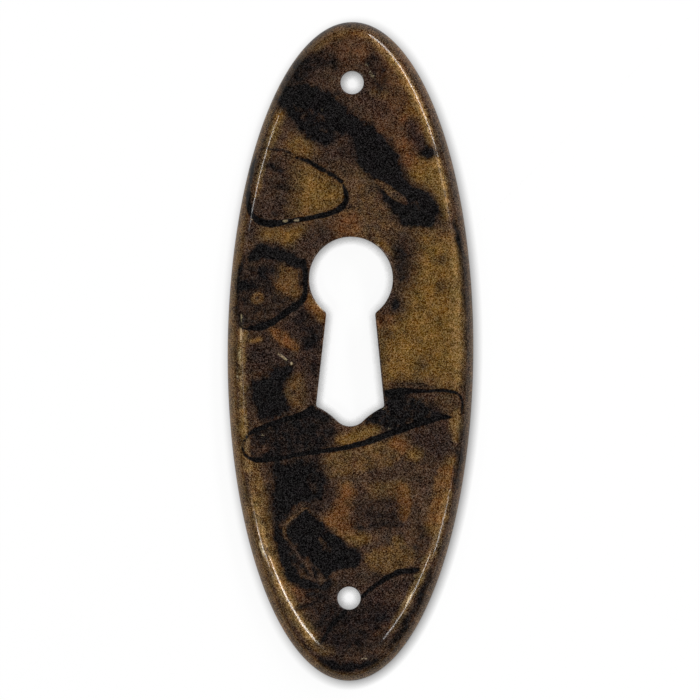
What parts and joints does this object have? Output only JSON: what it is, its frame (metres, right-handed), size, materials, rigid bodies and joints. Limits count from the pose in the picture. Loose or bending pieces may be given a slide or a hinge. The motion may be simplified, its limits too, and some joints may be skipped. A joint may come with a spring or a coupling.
{
  "type": "keyhole escutcheon",
  "caption": "Oval pressed sheet-brass plate with a rounded rim and hollow back, pinned over a cabinet or drawer lock to frame its keyhole and guard the wood around it.",
  "frame": {"origin": "middle of the plane that the rim stands on, at the plate's centre", "axes": "+Z out of the front face, +Y along the plate's length towards the keyhole's round head, +X to the right seen from the front"},
  "size_m": [0.0224, 0.06, 0.0022],
  "materials": {
    "patinated_brass": "dark mottled brown patina, semi-gloss, worn bright along the rim"
  },
  "bodies": {
    "root": {"escutcheon_plate": "patinated_brass"}
  },
  "joints": []
}
